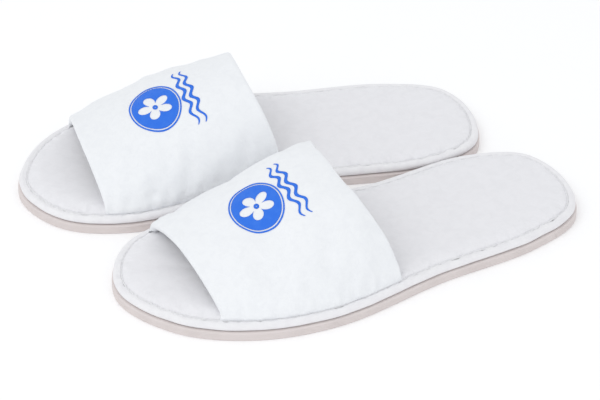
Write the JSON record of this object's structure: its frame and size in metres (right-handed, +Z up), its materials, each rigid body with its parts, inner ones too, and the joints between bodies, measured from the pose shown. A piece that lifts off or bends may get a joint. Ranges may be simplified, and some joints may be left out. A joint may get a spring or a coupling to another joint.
{
  "type": "spa slippers",
  "caption": "Pair of open-toe spa slippers: padded velour strap over a padded sock, wrapped fabric edge and thin EVA outsole.",
  "frame": {"origin": "centre of the pair's footprint, on the ground under the outsoles", "axes": "+Y towards the toes, +Z up, the left slipper at -X and the right one at +X"},
  "size_m": [0.2512, 0.3088, 0.0641],
  "materials": {
    "eva_foam": "satin moulded EVA foam with fine horizontal ribs on its side",
    "band_fabric": "matt brushed fabric band",
    "sponge": "matt open-cell sponge",
    "sock_fabric": "matt short-pile fabric",
    "velour": "soft plush velour with a light sheen",
    "lining_fabric": "matt non-woven lining",
    "thread": "spun sewing thread",
    "print_ink": "matt blue transfer ink"
  },
  "bodies": {
    "root": {"left_outsole": "eva_foam", "left_edge_wrap": "band_fabric", "left_platform_foam": "sponge", "left_sock_padding": "sponge", "left_sock_cover": "sock_fabric", "left_seam_thread": "thread", "left_strap_cover": "velour", "left_strap_padding": "sponge", "left_strap_lining": "lining_fabric", "left_front_hem_thread": "thread", "left_rear_hem_thread": "thread", "left_badge_print": "print_ink", "left_ripple_print": "print_ink", "right_outsole": "eva_foam", "right_edge_wrap": "band_fabric", "right_platform_foam": "sponge", "right_sock_padding": "sponge", "right_sock_cover": "sock_fabric", "right_seam_thread": "thread", "right_strap_cover": "velour", "right_strap_padding": "sponge", "right_strap_lining": "lining_fabric", "right_front_hem_thread": "thread", "right_rear_hem_thread": "thread", "right_badge_print": "print_ink", "right_ripple_print": "print_ink"}
  },
  "joints": []
}
